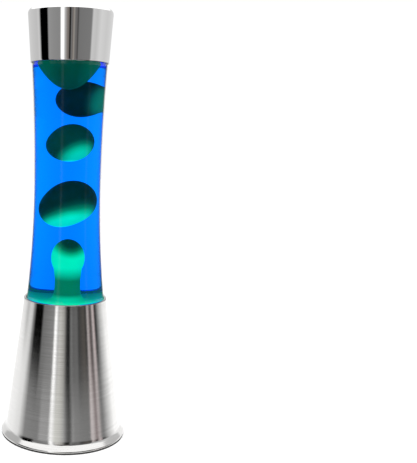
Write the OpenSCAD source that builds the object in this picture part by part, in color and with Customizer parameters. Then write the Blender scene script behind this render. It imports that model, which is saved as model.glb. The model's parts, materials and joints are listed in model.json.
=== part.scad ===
// Wax lamp: a waisted bottle of coloured liquid and wax, standing in a metal cone, with a metal cap.
// Millimetres, +Z up. The origin is the centre of the underside, and the cord's grommet faces +Y.

/* [Overall] */
// Height of the whole lamp
total_h = 395; // [390:1:400]

/* [Base] */
// Height of the metal cone, up to its rolled rim
base_h = 130.4; // [126:0.2:132]
// Outer radius of the cone under its rim
rim_r = 38.7; // [38.5:0.1:39.5]
// Outer radius of the cone at the crease above the foot
crease_r = 53.5; // [52:0.5:55]
// Height of the crease
crease_z = 10; // [9:0.5:11]
// Outer radius of the flared foot
foot_r = 58.3; // [57.8:0.1:59]
// Thickness of the cone's sheet
shell_t = 0.8; // [0.6:0.1:0.9]
// Height of the rubber pads under the foot
pad_h = 1.2; // [1:0.1:1.4]

/* [Bottle] */
// Outer radius at the waist
waist_r = 31.15; // [30.8:0.05:31.5]
// Height of the waist above the table
waist_z = 234; // [232:1:236]
// Radius of the long curve from the waist up to the cap
upper_curve = 1700; // [1650:10:1900]
// Radius of the long curve from the waist down to the base
lower_curve = 1000; // [950:10:1050]
// Outer radius of the straight lower end, which stands in the base
heel_r = 36.4; // [36:0.1:36.6]
// Thickness of the glass
glass_t = 2.2; // [1.8:0.1:2.4]
// Level of the wax that lies on the bottle's floor
pool_z = 127.5; // [126:0.5:129]

/* [Cap] */
// Height of the cap
cap_h = 48.5; // [48:0.5:49]
// Outer radius at the cap's lower edge
cap_low_r = 35.8; // [35.7:0.1:36]
// Outer radius under the cap's rounded top edge
cap_top_r = 38.9; // [38.5:0.1:39.3]
// Radius of the rounded top edge
cap_edge = 4.5; // [3.5:0.5:5]
// Thickness of the cap's sheet
cap_t = 0.6; // [0.5:0.1:0.7]

/* [Hidden] */
$fn = 64;

// Heights that follow from each other, from the table up
plate_z = 3;
plate_t = 1.2;
plate_top = plate_z + plate_t;
bridge_z = 12.8;              // underside of the holder bracket's bridge
strip_t = 1.2;                // thickness of the bracket, lugs and seat
holder_z = bridge_z + strip_t;
insert_z = holder_z + 7.5;
insert_top = insert_z + 4.8;
tip_z = insert_top + 1.2;     // lowest point of the bulb
seat_z = 104;                 // top of the seat's ledge
seat_ring_h = 1.6;
bottle_z = seat_z + seat_ring_h;
floor_t = 3.2;
floor_z = bottle_z + floor_t;
cap_z = total_h - cap_h;
shoulder_z = 346;
grommet_z = 19;

rim_bead = 0.9;
hem_r = 1.1;
bore_r = 3.1;                 // cord passage through the grommet
nipple_r = 5;
nipple_bore = 3.5;
wire_r = 1;
thread_pitch = 2.82;
heel_corner = 7;
shoulder_corner = 10;
shoulder_angle = 70;
neck_r = 13;
neck_fillet = 3;
finish_r = 14.2;              // lip of the bottle's mouth
lump_gap = 0.3;               // liquid film between a floating lump and the solid liquid
fill_r = heel_r - glass_t - 0.03;

// Outer radius of the cone at height z, and of its inner face
function cone_r(z) = crease_r + (rim_r - crease_r) * (z - crease_z) / (base_h - rim_bead - crease_z);
function cone_in(z) = cone_r(z) - shell_t;

// Outer radius of the cap's side at height z, and of its inner face
function cap_r(z) = cap_low_r + (cap_top_r - cap_low_r) * (z - cap_z) / (cap_h - cap_edge);
function cap_in(z) = cap_r(z) - cap_t;

// Points on a circular arc
function arc(x, y, r, from, to, n) =
  [for (i = [0:n]) let (a = from + (to - from) * i / n) [x + r * cos(a), y + r * sin(a)]];

// Side of the bottle at height z, moved inwards by d: two long curves that meet at the waist
function side_r(z, d) =
  let (c = (z > waist_z ? upper_curve : lower_curve) + d)
    waist_r - d + c - sqrt(c * c - pow(z - waist_z, 2));
// Depth below the waist where the lower curve reaches the straight heel
heel_drop = sqrt(pow(lower_curve, 2) - pow(lower_curve - heel_r + waist_r, 2));
shoulder_r = side_r(shoulder_z, 0);
neck_z = shoulder_z + shoulder_corner * sin(shoulder_angle)
  + (shoulder_r - shoulder_corner + shoulder_corner * cos(shoulder_angle)
  - neck_r - neck_fillet + neck_fillet * cos(shoulder_angle)) / tan(shoulder_angle)
  + neck_fillet * sin(shoulder_angle);
neck_top = neck_z + 17;

// Bottle's side from its heel to its shoulder, moved inwards by d
function bottle_side(d, low) =
  [for (i = [0:12]) let (z = low + (waist_z - low) * i / 12) [side_r(z, d), z],
   for (i = [1:10]) let (z = waist_z + (shoulder_z - waist_z) * i / 10) [side_r(z, d), z]];
// Shoulder and neck, moved inwards by d
function bottle_top(d) = concat(
  arc(shoulder_r - shoulder_corner, shoulder_z, shoulder_corner - d, 10, shoulder_angle, 6),
  arc(neck_r + neck_fillet, neck_z, neck_fillet + d, 180 + shoulder_angle, 180, 5));
// Whole outline from the middle of the floor to the neck
function bottle_outline(d, floor) = concat(
  [[0, floor]],
  arc(heel_r - heel_corner, floor + heel_corner - d, heel_corner - d, -90, 0, 6),
  bottle_side(d, waist_z - heel_drop), bottle_top(d));

// Round lump of wax: two half ellipses on one equator of radius r
module lump(r, up, down, grow = 0)
  rotate_extrude() polygon([for (i = [0:20]) let (a = -90 + 9 * i)
    [(r + grow) * cos(a), ((a > 0 ? up : down) + grow) * sin(a)]]);

// Wax hanging at the top: a paraboloid below its rim of radius r, a low half ellipse above
module dome(r, up, down, grow = 0)
  rotate_extrude() polygon(concat(
    [for (i = [0:12]) let (t = pow(i / 12, 2)) [(r + grow) * sqrt(t), (down + grow) * (t - 1)]],
    [for (i = [1:6]) [(r + grow) * cos(15 * i), (up + grow) * sin(15 * i)]]));

module place_dome() translate([-0.6, -6, 346]) children();
module place_upper() translate([6.9, 13, 314.7]) children();
module place_middle() translate([1.1, 0, 275]) children();
module place_lower() translate([1, 0, 216.5]) rotate([0, 20, 0]) children();

// Tube of radius r along rounded points, with its ends closed
function mix_points(a, b, c, d, t) =
  0.5 * ((2 * b) + (c - a) * t + (2 * a - 5 * b + 4 * c - d) * t * t
  + (3 * b - a - 3 * c + d) * t * t * t);
function smooth_route(p, steps) =
  [for (i = [0:len(p) - 2], s = [0:steps - 1])
     mix_points(p[max(i - 1, 0)], p[i], p[i + 1], p[min(i + 2, len(p) - 1)], s / steps),
   p[len(p) - 1]];
function heading(p, i) =
  let (v = p[min(i + 1, len(p) - 1)] - p[max(i - 1, 0)]) v / norm(v);
module lead(points, r) {
  p = smooth_route(points, 5);
  sides = 8;
  rings = [for (i = [0:len(p) - 1])
    let (t = heading(p, i), n0 = cross(t, [0.6, 0.5, -0.62]), n = n0 / norm(n0), b = cross(t, n))
      [for (k = [0:sides - 1]) p[i] + r * (n * cos(360 * k / sides) + b * sin(360 * k / sides))]];
  last = (len(p) - 1) * sides;
  polyhedron(
    points = [for (ring = rings) each ring],
    faces = concat(
      [[for (k = [0:sides - 1]) k]],
      [for (i = [0:len(p) - 2], k = [0:sides - 1])
        let (a = i * sides + k, b = i * sides + (k + 1) % sides)
          each [[a, a + sides, b + sides], [a, b + sides, b]]],
      [[for (k = [sides - 1:-1:0]) last + k]]));
}

// Pan-head screw pointing down from its head, with a cross recess
module screw(head_r, head_h, shank_r, shank_h)
  difference() {
    union() {
      cylinder(r = head_r, h = head_h);
      translate([0, 0, -shank_h]) cylinder(r = shank_r, h = shank_h);
    }
    for (a = [0, 90]) rotate([0, 0, a])
      translate([-head_r * 0.6, -0.35, head_h - 0.7]) cube([head_r * 1.2, 0.7, 1]);
  }

// ---- Base ----

module base_shell() color("silver") difference() {
  union() {
    rotate_extrude($fn = 128) polygon([
      [rim_r, base_h - rim_bead], [rim_r - shell_t, base_h - rim_bead],
      [crease_r - shell_t, crease_z], [foot_r - 1.4, pad_h + 1.6],
      [foot_r - 0.35, pad_h + 2], [crease_r, crease_z]]);
    rotate_extrude($fn = 128) translate([rim_r - 0.1, base_h - rim_bead]) circle(r = rim_bead);
    rotate_extrude($fn = 128) translate([foot_r - hem_r, pad_h + hem_r]) circle(r = hem_r);
  }
  translate([0, 40, grommet_z]) rotate([-90, 0, 0]) cylinder(r = 6, h = 20);
}

module foot_pads() color("black") difference() {
  cylinder(r = foot_r - 0.3, h = pad_h, $fn = 128);
  translate([0, 0, -1]) cylinder(r = foot_r - 4.8, h = pad_h + 2, $fn = 128);
  for (a = [30, 90, 150]) rotate([0, 0, a])
    translate([foot_r - 8, -3, -1]) cube([12, 6, pad_h + 2]);
}

lug_angles = [30, 150, 270];
lug_hole_r = 48;
block_y = 27.5;
clamp_y = 40.5;
tag_at = [-28, 16];
rivet_x = 26;

module bottom_plate() color("dimgray") difference() {
  translate([0, 0, plate_z]) cylinder(r = foot_r - 2.5, h = plate_t, $fn = 128);
  for (a = [0:30:330]) if (a != 90 && a != 150)
    rotate([0, 0, a]) translate([38, 0, plate_z - 1]) cylinder(r = 3, h = 4);
  for (a = lug_angles) rotate([0, 0, a])
    translate([lug_hole_r, 0, plate_z - 1]) cylinder(r = 2, h = 4);
  for (x = [-rivet_x, rivet_x]) translate([x, 0, plate_z - 1]) cylinder(r = 1.6, h = 4);
  for (x = [-8, 8]) translate([x, clamp_y, plate_z - 1]) cylinder(r = 1.5, h = 4);
  translate([5, block_y, plate_z - 1]) cylinder(r = 1.4, h = 4);
  translate([tag_at.x, tag_at.y, plate_z - 1]) cylinder(r = 2, h = 4);
}

module plate_lugs() color("darkgray") for (a = lug_angles) rotate([0, 0, a])
  difference() {
    intersection() {
      union() {
        rotate_extrude($fn = 128) polygon([
          [cone_in(18), 18], [cone_in(crease_z), crease_z], [cone_in(crease_z), plate_top],
          [cone_in(crease_z) - strip_t, plate_top], [cone_in(crease_z) - strip_t, crease_z],
          [cone_in(18) - strip_t, 18]]);
        translate([43, -6, plate_top]) cube([cone_in(crease_z) - 44, 12, strip_t]);
      }
      translate([42, -6, plate_top]) cube([14, 12, 16]);
    }
    translate([lug_hole_r, 0, plate_top - 1]) cylinder(r = 1.9, h = 4);
  }

module plate_screws() color("gray") for (a = lug_angles) rotate([0, 0, a])
  translate([lug_hole_r, 0, plate_z]) rotate([180, 0, 0]) screw(3.5, 1.6, 1.9, 6);

module bottle_seat() color("gainsboro") rotate_extrude($fn = 128) polygon([
  [30, seat_z - strip_t], [cone_in(seat_z - strip_t), seat_z - strip_t],
  [cone_in(seat_z), seat_z], [heel_r + 1.5, seat_z], [heel_r + 1.5, seat_z + 11],
  [heel_r + 0.5, seat_z + 11], [heel_r + 0.5, seat_z], [30, seat_z]]);

module seat_ring() color("white") translate([0, 0, seat_z]) difference() {
  cylinder(r = heel_r - 0.2, h = seat_ring_h, $fn = 128);
  translate([0, 0, -1]) cylinder(r = 31, h = seat_ring_h + 2, $fn = 128);
}

// ---- Lamp holder ----

module holder_bracket() color("lightgray") difference() {
  translate([0, 8, 0]) rotate([90, 0, 0]) linear_extrude(16) difference() {
    union() {
      translate([-20, plate_top]) square([40, holder_z - plate_top]);
      translate([-32, plate_top]) square([64, strip_t]);
    }
    translate([strip_t - 20, plate_top - 1]) square([40 - 2 * strip_t, bridge_z - plate_top + 1]);
  }
  translate([0, 0, bridge_z - 1]) cylinder(r = nipple_r, h = 4);
  for (x = [-rivet_x, rivet_x]) translate([x, 0, plate_top - 1]) cylinder(r = 1.6, h = 4);
}

module bracket_rivets() color("silver") for (x = [-rivet_x, rivet_x]) translate([x, 0, 0]) {
  rotate_extrude() polygon([
    [0, 1.9], [2.4, 1.9], [3, 2.4], [3, plate_z], [1.6, plate_z], [1.6, plate_top + strip_t],
    [3, plate_top + strip_t], [3, 6], [2.2, 6.6], [0, 6.6]]);
}

module holder_nipple() color("goldenrod") translate([0, 0, 8.5]) difference() {
  cylinder(r = nipple_r, h = 8);
  translate([0, 0, -1]) cylinder(r = nipple_bore, h = 11);
}

module holder_nut() color("goldenrod") translate([0, 0, bridge_z - 2.5]) difference() {
  cylinder(r = 8, h = 2.5, $fn = 6);
  translate([0, 0, -1]) cylinder(r = nipple_r, h = 5);
}

module holder_cap() color("black") rotate_extrude() polygon([
  [nipple_r, holder_z], [9, holder_z], [13.6, holder_z + 5], [13.6, 25], [12.4, 25],
  [12.4, holder_z + 5.6], [8.4, holder_z + 1.4], [nipple_r, holder_z + 1.4]]);

module holder_barrel() color("black") rotate_extrude() polygon([
  [8, insert_top + 1.7], [8, 46.5], [12.8, 46.5], [13.6, 45.7], [13.6, 25], [12.4, 25],
  [12.4, insert_z], [11.2, insert_z], [11.2, insert_top + 1.7]]);

module holder_insert() color("ivory") difference() {
  translate([0, 0, insert_z]) cylinder(r = 11.2, h = insert_top - insert_z);
  for (x = [-9.6, 9.6]) translate([x, 0, insert_z - 1]) cylinder(r = 0.8, h = 8);
}

module holder_terminals() color("goldenrod") for (x = [-7.5, 7.5])
  translate([x, 0, insert_z - 3]) difference() {
    cylinder(r = 1.8, h = 3);
    translate([-2, -0.35, -1]) cube([4, 0.7, 1.7]);
  }

module holder_sleeve() color("goldenrod") translate([0, 0, insert_top]) difference() {
  cylinder(r = 8, h = 18.7);
  translate([0, 0, -1]) cylinder(r = 7.3, h = 21);
}

module holder_contact() color("darkgoldenrod") translate([0, 2, 0]) rotate([90, 0, 0])
  linear_extrude(4) polygon([
    [-6, insert_top], [-2, insert_top], [0, insert_top + 0.6], [2.4, insert_top + 0.6],
    [2.4, insert_top + 1], [-0.3, insert_top + 1], [-2.2, insert_top + 0.4],
    [-6, insert_top + 0.4]]);

// ---- Wiring ----

terminal_x = [-10, 0, 10];
terminal_z = 8.4;

module terminal_block() color("whitesmoke") difference() {
  translate([-15, block_y - 5.5, plate_top]) cube([30, 11, 9.6]);
  for (x = terminal_x) {
    translate([x, block_y - 7, terminal_z]) rotate([-90, 0, 0]) cylinder(r = 1.7, h = 14);
    for (y = [-2.8, 2.8]) translate([x, block_y + y, terminal_z]) cylinder(r = 1.9, h = 8);
  }
  for (x = [-5, 5]) translate([x, block_y, plate_top - 1]) cylinder(r = 1.5, h = 12);
  for (x = [-5, 5]) translate([x, block_y, 9.5]) cylinder(r = 2.6, h = 6);
}

module terminal_sleeves() color("gold") for (x = terminal_x)
  translate([x, block_y - 4.8, terminal_z]) rotate([-90, 0, 0]) difference() {
    cylinder(r = 1.7, h = 9.6);
    translate([0, 0, -1]) cylinder(r = 1.15, h = 12);
  }

module terminal_screws() color("silver") for (x = terminal_x, y = [-2.8, 2.8])
  translate([x, block_y + y, terminal_z + 1.7 + 2.6]) screw(1.6, 0.9, 1.4, 2.6);

module block_screw() color("silver") translate([5, block_y, 9.5]) screw(2.5, 1.6, 1.4, 7.2);

module cord_clamp() color("black") difference() {
  translate([0, clamp_y + 3, 0]) rotate([90, 0, 0]) linear_extrude(6) difference() {
    union() {
      translate([-11, plate_top]) square([22, 1.6]);
      translate([0, plate_top + 3.2]) circle(r = 4.8);
    }
    translate([0, plate_top + 3.2]) circle(r = 3.2);
    translate([-3.2, plate_top - 1]) square([6.4, 4.2]);
    translate([-12, plate_top - 3]) square([24, 3]);
  }
  for (x = [-8, 8]) translate([x, clamp_y, plate_top - 1]) cylinder(r = 1.5, h = 4);
}

module clamp_screws() color("silver") for (x = [-8, 8])
  translate([x, clamp_y, plate_top + 1.6]) screw(2.6, 1.6, 1.5, 4);

module cable_grommet() color("black") translate([0, 47.8, grommet_z]) rotate([-90, 0, 0])
  rotate_extrude() polygon([
    [bore_r, 0], [7, 0], [7.5, 0.5], [7.5, 2.6], [6, 2.6], [6, 4.6], [8.5, 4.6], [8.5, 6.2],
    [7.5, 7.2], [bore_r, 7.2]]);

lead_end_y = block_y - 3.5;
live_route = [[0, lead_end_y, 8.4], [0, 17, 8], [-1, 10, 6.4], [-1.8, 5, 6], [-2, 1.6, 7.6],
  [-2, 0.2, 11], [-2, 0, 15], [-2.9, 0, 17.6], [-5.1, 0, 19.2]];
neutral_route = [[10, lead_end_y, 8.4], [9.4, 17, 8], [6, 10, 6.4], [3.4, 5, 6], [2.2, 1.6, 7.6],
  [2, 0.2, 11], [2, 0, 15], [2.9, 0, 17.6], [5.1, 0, 19.2]];
earth_route = [[-10, lead_end_y, 8.4], [-11, 18.5, 7.6], [-16, 16, 6], [-22, 16, 5.8]];

module live_lead() color("saddlebrown") lead(live_route, wire_r);
module neutral_lead() color("dodgerblue") lead(neutral_route, wire_r);
module earth_lead() color("yellowgreen") lead(earth_route, wire_r);

module earth_tag() color("silver") difference() {
  union() {
    translate([tag_at.x, tag_at.y, plate_top]) cylinder(r = 3.7, h = 0.8);
    translate([tag_at.x, tag_at.y - 1.5, plate_top]) cube([6, 3, 0.8]);
    translate([tag_at.x + 4, tag_at.y, 5.8]) rotate([0, 90, 0]) cylinder(r = 1.5, h = 4);
  }
  translate([tag_at.x, tag_at.y, plate_top - 1]) cylinder(r = 2, h = 4);
  translate([tag_at.x + 5, tag_at.y, 5.8]) rotate([0, 90, 0]) cylinder(r = 1.05, h = 4);
}

module earth_screw() color("silver") translate([tag_at.x, tag_at.y, plate_top + 0.8])
  screw(3.5, 2.2, 2, 3.4);

// ---- Bulb ----

bulb_neck_r = 6.1;
bulb_body_r = 19.5;
bulb_neck_z = tip_z + 21;
bulb_flare_z = tip_z + 24.5;
bulb_wide_z = tip_z + 52.5;
bulb_top = tip_z + 64;
screw_low = tip_z + 3.7;
screw_turns = 5.7;

// Envelope outline from the neck to the middle of the front, moved inwards by d
function bulb_outline(d) = concat(
  [[bulb_neck_r - d, bulb_neck_z - 4.5], [bulb_neck_r - d, bulb_neck_z]],
  [for (i = [0:9]) let (t = i / 9)
    [8.5 - d + (bulb_body_r - 8.5) * sin(90 * t),
     bulb_flare_z + (bulb_wide_z - bulb_flare_z) * t]],
  [for (i = [1:9]) [(bulb_body_r - d) * cos(10 * i),
    bulb_wide_z + (bulb_top - bulb_wide_z - d) * sin(10 * i)]]);

module bulb_contact() color("silver") rotate_extrude() polygon([
  [0, tip_z], [1.4, tip_z + 0.1], [2.3, tip_z + 0.9], [2.3, tip_z + 1.7], [0, tip_z + 1.7]]);

module bulb_insulator() color("black") rotate_extrude() polygon([
  [2.3, tip_z + 1.1], [3.6, tip_z + 1.1], [6, screw_low], [6, screw_low + 1.2],
  [0, screw_low + 1.2], [0, tip_z + 1.7], [2.3, tip_z + 1.7]]);

module bulb_screw_cap() color("goldenrod") rotate_extrude() polygon(concat(
  [[6, screw_low]],
  [for (i = [0:34]) let (z = screw_low + 0.4 + i * screw_turns * thread_pitch / 34)
    [6.55 + 0.28 * cos(360 * (z - screw_low) / thread_pitch), z]],
  [[6.4, bulb_neck_z - 0.4], [bulb_neck_r, bulb_neck_z - 0.4], [bulb_neck_r, screw_low + 1.2],
   [6, screw_low + 1.2]]));

module bulb_envelope() color([0.95, 0.93, 0.85]) difference() {
  rotate_extrude() polygon(concat([[0, bulb_neck_z - 4.5]], bulb_outline(0), [[0, bulb_top]]));
  rotate_extrude() polygon(concat(
    [[0, bulb_neck_z - 5]], [[bulb_neck_r - 0.8, bulb_neck_z - 5]], bulb_outline(0.8),
    [[0, bulb_top - 0.8]]));
}

module bulb_stem() color("lightcyan") rotate_extrude() polygon([
  [0, bulb_neck_z - 4.5], [5.2, bulb_neck_z - 4.5], [2.6, bulb_neck_z - 1.5],
  [2.2, bulb_neck_z + 12], [0, bulb_neck_z + 13]]);

module bulb_filament() color("dimgray") {
  for (m = [-1, 1]) translate([m * 1.2, 0, bulb_neck_z + 10]) rotate([0, m * 24, 0])
    cylinder(r = 0.35, h = 16, $fn = 16);
  translate([-7.6, 0, bulb_neck_z + 24.4]) rotate([0, 90, 0])
    cylinder(r = 0.6, h = 15.2, $fn = 16);
}

// ---- Bottle ----

module glass_bottle() color([0.8, 0.9, 1, 0.3]) difference() {
  rotate_extrude($fn = 128) polygon(concat(
    bottle_outline(0, bottle_z),
    [[neck_r, neck_top - 4], [finish_r, neck_top - 3.2], [finish_r, neck_top - 0.6],
     [finish_r - 0.6, neck_top], [0, neck_top]]));
  rotate_extrude($fn = 128) polygon(concat(
    bottle_outline(glass_t, floor_z), [[neck_r - glass_t, neck_top + 1], [0, neck_top + 1]]));
}

// Column of wax that rises from the pool, as an outline from the pool to its top
function column_outline() = concat(
  [[0, pool_z - 2], [12.4, pool_z - 2], [10.4, pool_z + 1.4], [9.2, pool_z + 7],
   [9, pool_z + 20]],
  arc_ellipse(0, 167.5, 11.8, 18, -33, 84, 13), [[0, 185.5]]);
function arc_ellipse(x, y, a, b, from, to, n) =
  [for (i = [0:n]) let (t = from + (to - from) * i / n) [x + a * cos(t), y + b * sin(t)]];
module column() translate([1.4, 0, 0]) rotate_extrude() polygon(column_outline());

coil_r = 25;
coil_wire_r = 1.2;
coil_pitch = 2.7;
module coil_turns() for (i = [0:2])
  translate([0, 0, floor_z + 1.5 + coil_pitch * i]) rotate_extrude($fn = 128)
    translate([coil_r, 0]) circle(r = coil_wire_r);

module wax_pool() color([0.1, 0.8, 0.4]) difference() {
  union() {
    rotate_extrude($fn = 128) polygon(concat(
      [[0, floor_z]],
      arc(heel_r - heel_corner, floor_z + heel_corner - glass_t, fill_r - heel_r + heel_corner,
        -90, 0, 6),
      [[fill_r, floor_z + heel_corner], [fill_r, pool_z], [0, pool_z]]));
    column();
  }
  coil_turns();
}

module heat_coil() color("silver") coil_turns();

module liquid() color([0, 0.4, 1, 0.5]) difference() {
  rotate_extrude($fn = 128) polygon(concat(
    [[0, pool_z], [fill_r, pool_z]],
    bottle_side(glass_t, waist_z - heel_drop), bottle_top(glass_t),
    [[neck_r - glass_t, neck_z + 6], [0, neck_z + 6]]));
  column();
  place_dome() dome(23.5, 6.5, 23.2, lump_gap);
  place_upper() lump(15.2, 15.8, 16, lump_gap);
  place_middle() lump(16.7, 17.2, 17.2, lump_gap);
  place_lower() lump(19, 24, 20.6, lump_gap);
}

module wax_dome() color([0.05, 0.4, 0.25]) place_dome() dome(23.5, 6.5, 23.2);
module wax_upper() color([0.02, 0.2, 0.15]) place_upper() lump(15.2, 15.8, 16);
module wax_middle() color([0.1, 0.6, 0.35]) place_middle() lump(16.7, 17.2, 17.2);
module wax_lower() color([0.1, 0.7, 0.4]) place_lower() lump(19, 24, 20.6);

crown_r = 15.4;
crown_top = neck_top + 1.7;

module crown_cap() color("silver") difference() {
  union() {
    rotate_extrude() polygon([
      [0, crown_top - 0.5], [finish_r + 0.1, crown_top - 0.5], [crown_r - 0.5, crown_top - 1.6],
      [crown_r - 0.5, neck_top - 4.4], [crown_r, neck_top - 4.4], [crown_r, crown_top - 1.4],
      [finish_r + 0.3, crown_top], [0, crown_top]]);
    for (i = [0:20]) rotate([0, 0, 360 * i / 21])
      translate([crown_r, 0, neck_top - 4.4]) cylinder(r = 0.7, h = 3.4, $fn = 16);
  }
  translate([0, 0, neck_top - 5]) cylinder(r = crown_r - 0.5, h = 5.2);
}

module crown_seal() color("white") translate([0, 0, neck_top])
  cylinder(r = finish_r - 0.4, h = 1.2);

// ---- Cap ----

module cap_shell() color("gainsboro") {
  cone_end = total_h - cap_edge;
  edge_x = cap_top_r - cap_edge;
  difference() {
    union() {
      rotate_extrude($fn = 128) polygon(concat(
        [[0, cap_z], [cap_low_r, cap_z]], arc(edge_x, cone_end, cap_edge, 0, 90, 8),
        [[0, total_h]]));
      rotate_extrude($fn = 128) translate([cap_low_r - 0.3, cap_z + 0.5]) circle(r = 0.5);
    }
    rotate_extrude($fn = 128) polygon(concat(
      [[0, cap_z - 1], [cap_low_r - cap_t, cap_z - 1], [cap_low_r - cap_t, cap_z]],
      arc(edge_x, cone_end, cap_edge - cap_t, 0, 90, 8), [[0, total_h - cap_t]]));
  }
}

module cap_liner() color("black") rotate_extrude($fn = 128) polygon([
  [0, crown_top], [17, crown_top], [17, crown_top - 11], [18.6, crown_top - 11],
  [18.6, crown_top], [cap_in(crown_top), crown_top], [cap_in(crown_top + 2), crown_top + 2],
  [0, crown_top + 2]]);

base_shell();
foot_pads();
bottom_plate();
plate_lugs();
plate_screws();
bottle_seat();
seat_ring();
holder_bracket();
bracket_rivets();
holder_nipple();
holder_nut();
holder_cap();
holder_barrel();
holder_insert();
holder_terminals();
holder_sleeve();
holder_contact();
terminal_block();
terminal_sleeves();
terminal_screws();
block_screw();
cord_clamp();
clamp_screws();
cable_grommet();
live_lead();
neutral_lead();
earth_lead();
earth_tag();
earth_screw();
bulb_contact();
bulb_insulator();
bulb_screw_cap();
bulb_envelope();
bulb_stem();
bulb_filament();
glass_bottle();
liquid();
wax_pool();
heat_coil();
crown_cap();
crown_seal();
wax_dome();
wax_upper();
wax_middle();
wax_lower();
cap_shell();
cap_liner();
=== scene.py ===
# Wax lamp: green wax in blue liquid, a waisted bottle, a polished cap and a brushed steel cone.
import json
import math

import bpy
import numpy as np
from mathutils import Matrix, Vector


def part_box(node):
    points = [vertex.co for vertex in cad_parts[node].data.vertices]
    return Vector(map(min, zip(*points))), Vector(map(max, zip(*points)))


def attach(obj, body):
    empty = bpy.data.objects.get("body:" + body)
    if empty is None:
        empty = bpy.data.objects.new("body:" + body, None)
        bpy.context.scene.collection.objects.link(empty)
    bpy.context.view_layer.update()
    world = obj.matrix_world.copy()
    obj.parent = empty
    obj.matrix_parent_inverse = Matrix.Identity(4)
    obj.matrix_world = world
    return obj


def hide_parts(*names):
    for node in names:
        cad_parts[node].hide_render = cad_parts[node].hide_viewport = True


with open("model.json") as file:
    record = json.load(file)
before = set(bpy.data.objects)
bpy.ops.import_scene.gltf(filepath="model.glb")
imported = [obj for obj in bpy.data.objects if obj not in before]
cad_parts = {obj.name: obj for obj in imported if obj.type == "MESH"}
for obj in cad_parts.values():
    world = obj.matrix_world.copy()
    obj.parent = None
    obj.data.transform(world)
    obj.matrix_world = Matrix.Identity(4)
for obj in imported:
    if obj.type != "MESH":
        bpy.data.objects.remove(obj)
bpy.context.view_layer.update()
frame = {"nodes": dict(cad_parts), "record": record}
nodes = frame["nodes"]

mm = 0.001

# The camera stands at the height of the bottle's middle lump and looks a little down. Its frame is
# shifted sideways, so that the lamp is at the left of it.
cameraSettings = {
    "place": (-0.85 * mm, -692 * mm, 283 * mm),
    "pitch": 5.9,          # degrees below the horizon
    "roll": 1.15,          # degrees about its own line of sight
    "lens": 58.0,
    "sensor": 36,
    "shift": (0.3078, -0.045),
    "clip": (0.01, 20),    # nearest and furthest distance seen
}


def makeCamera(s):
    data = bpy.data.cameras.new("camera")
    data.lens = s["lens"]
    data.sensor_width = s["sensor"]
    data.shift_x, data.shift_y = s["shift"]
    data.clip_start, data.clip_end = s["clip"]
    camera = bpy.data.objects.new("camera", data)
    tilt = Matrix.Rotation(math.radians(90 - s["pitch"]), 4, "X")
    turn = Matrix.Rotation(math.radians(s["roll"]), 4, "Z")
    camera.matrix_world = Matrix.Translation(s["place"]) @ tilt @ turn
    bpy.context.collection.objects.link(camera)
    bpy.context.scene.camera = camera


makeCamera(cameraSettings)
print("camera ready")


def arc(x, z, r, start, end, count):
    # Points on a circle round (x, z), from one angle to the other in degrees.
    a = np.radians(np.linspace(start, end, count + 1))
    return np.stack([x + r * np.cos(a), z + r * np.sin(a)], 1)


def line(start, end, count):
    # Points along a straight stretch, without its last one.
    t = np.linspace(0, 1, count + 1)[:-1, None]
    return (1 - t) * np.array(start) + t * np.array(end)


def path(*parts):
    # One outline out of points and stretches, with repeated points dropped.
    p = np.concatenate([np.atleast_2d(np.array(q, float)) for q in parts])
    keep = np.concatenate([[True], np.linalg.norm(np.diff(p, axis=0), axis=1) > 1e-7])
    return p[keep]


def newPiece(name, points, faces, uv, sharp, closing):
    # A smooth piece, with edges kept sharp above an angle in degrees, and its map per face corner.
    mesh = bpy.data.meshes.new(name)
    mesh.from_pydata(points.tolist(), [], faces)
    mesh.shade_smooth()
    mesh.set_sharp_from_angle(angle=math.radians(sharp))
    corners = np.zeros(len(mesh.loops), int)
    mesh.loops.foreach_get("vertex_index", corners)
    flat = uv[corners]
    flat[:, 0] = closing(mesh, flat[:, 0])    # corners on the seam take the far side's u
    mesh.uv_layers.new(name="around").data.foreach_set("uv", flat.astype(np.float32).ravel())
    piece = bpy.data.objects.new(name, mesh)
    bpy.context.collection.objects.link(piece)
    return piece


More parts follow.
